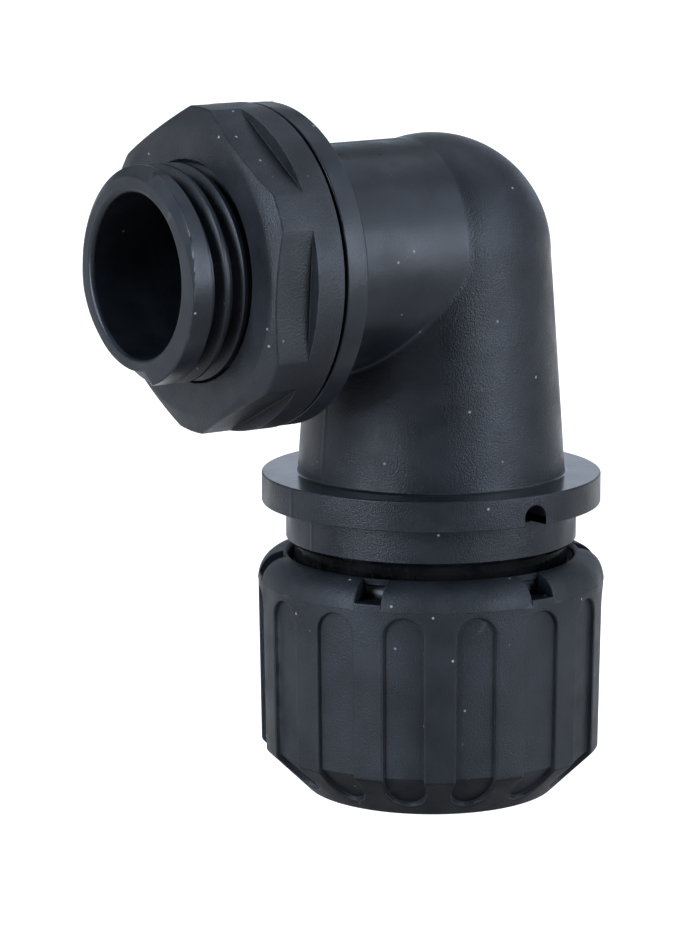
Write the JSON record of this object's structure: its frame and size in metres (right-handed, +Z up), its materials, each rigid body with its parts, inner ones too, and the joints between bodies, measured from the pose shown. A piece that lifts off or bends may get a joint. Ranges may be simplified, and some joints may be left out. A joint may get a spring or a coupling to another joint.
{
  "type": "elbow cable gland",
  "caption": "Right-angle plastic cable gland: threaded spigot with a lock nut on the arm, tapered elbow tube, and a fluted cap nut that clamps the cable.",
  "frame": {"origin": "middle of the cable mouth, in the lower face of the cap nut", "axes": "+Z up the tube's axis, the arm and its spigot point along -X"},
  "size_m": [0.0399, 0.0266, 0.0537],
  "materials": {
    "body_plastic": "black polyamide, satin on the arm and bend, finely grained on the tube",
    "lock_nut_plastic": "black polyamide, satin, rough on the flats",
    "gasket_rubber": "matt",
    "cap_nut_plastic": "black polyamide, satin",
    "seal_rubber": "matt",
    "washer_plastic": "natural polyamide",
    "cage_plastic": "black polyamide",
    "insert_rubber": "matt"
  },
  "bodies": {
    "elbow": {"elbow_body": "body_plastic", "neck_o_ring": "seal_rubber", "clamping_cage": "cage_plastic", "sealing_insert": "insert_rubber"},
    "gasket": {"panel_gasket": "gasket_rubber"},
    "locking": {"lock_nut": "lock_nut_plastic"},
    "washer": {"slip_washer": "washer_plastic"},
    "cap": {"cap_nut": "cap_nut_plastic"}
  },
  "joints": [
    {"name": "gasket_slide", "type": "slide", "parent": "elbow", "child": "gasket", "axis": [-1, 0, 0], "range_m": [0, 0.00375]},
    {"name": "lock_nut_turn", "type": "hinge", "parent": "gasket", "child": "locking", "pos_m": [-0.0192, 0, 0.0417], "axis": [-1, 0, 0], "range_deg": [0, 900]},
    {"name": "washer_slide", "type": "slide", "parent": "elbow", "child": "washer", "axis": [0, 0, 1], "range_m": [-0.00375, 0.0012]},
    {"name": "cap_nut_turn", "type": "hinge", "parent": "washer", "child": "cap", "pos_m": [0, 0, 0.009], "axis": [0, 0, 1], "range_deg": [-900, 288]}
  ],
  "couplings": [
    {"joint": "gasket_slide", "follows": "lock_nut_turn", "m_per_rad": 0.00023873},
    {"joint": "washer_slide", "follows": "cap_nut_turn", "m_per_rad": 0.00023873}
  ]
}
